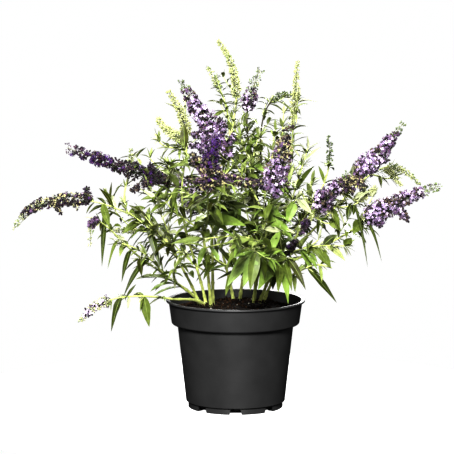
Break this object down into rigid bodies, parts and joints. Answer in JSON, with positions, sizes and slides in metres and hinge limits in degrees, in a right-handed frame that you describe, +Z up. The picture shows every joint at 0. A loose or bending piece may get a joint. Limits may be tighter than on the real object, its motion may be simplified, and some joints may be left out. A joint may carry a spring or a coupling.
{
  "type": "butterfly bush in a nursery pot",
  "caption": "Flowering butterfly bush in a round plastic nursery pot: leafy arching shoots rise from the soil and end in tapering lilac, violet and pale green flower spikes.",
  "frame": {"origin": "centre of the pot's flat underside", "axes": "+Z up; +X to the side where the long shoots with lilac spikes reach out; +Y to the back of the plant"},
  "size_m": [0.6702, 0.4957, 0.5793],
  "materials": {
    "pot_plastic": "satin black moulded polypropylene",
    "compost": "loose dark peat and bark",
    "stem_bark": "smooth pale green young bark",
    "shoot_bark": "smooth pale green downy bark",
    "foliage": "soft matt leaves, pale underneath, with lilac, violet and green flower spikes"
  },
  "bodies": {
    "root": {"pot": "pot_plastic", "soil": "compost", "stem_west_tall": "stem_bark", "stem_west_back": "stem_bark", "stem_west_low": "stem_bark", "stem_west_main": "stem_bark", "stem_west_skirt": "stem_bark", "stem_west_mid": "stem_bark", "stem_east_main": "stem_bark", "stem_east_back": "stem_bark", "stem_east_tall": "stem_bark", "stem_east_front": "stem_bark", "stem_east_leafy": "stem_bark", "stem_north_east": "stem_bark", "stem_north_west": "stem_bark", "bough_nw_violet": "shoot_bark", "bough_w_violet": "shoot_bark", "bough_w_drooping": "shoot_bark", "bough_nw_pale": "shoot_bark", "bough_top_pale": "shoot_bark", "bough_top_lilac": "shoot_bark", "bough_s_violet": "shoot_bark", "bough_s_lilac": "shoot_bark", "bough_top_mixed": "shoot_bark", "bough_n_nodding": "shoot_bark", "bough_ne_pale": "shoot_bark", "bough_ne_bud": "shoot_bark", "bough_e_pale": "shoot_bark", "bough_e_lilac": "shoot_bark", "bough_e_low_lilac": "shoot_bark", "bough_n_east": "shoot_bark", "bough_n_west": "shoot_bark", "bough_ne_low": "shoot_bark", "bough_nw_low": "shoot_bark", "bough_se_leafy": "shoot_bark", "bough_sw_leafy": "shoot_bark", "mass_nw_violet": "foliage", "mass_w_violet": "foliage", "mass_w_drooping": "foliage", "mass_w_skirt": "foliage", "mass_nw_pale": "foliage", "mass_top_pale": "foliage", "mass_top_lilac": "foliage", "mass_s_violet": "foliage", "mass_s_lilac": "foliage", "mass_top_mixed": "foliage", "mass_n_nodding": "foliage", "mass_ne_pale": "foliage", "mass_ne_bud": "foliage", "mass_e_pale": "foliage", "mass_e_lilac": "foliage", "mass_e_low_lilac": "foliage", "mass_n_east": "foliage", "mass_n_west": "foliage", "mass_ne_low": "foliage", "mass_nw_low": "foliage", "mass_s_leafy": "foliage", "mass_se_leafy": "foliage", "mass_sw_leafy": "foliage"}
  },
  "joints": []
}
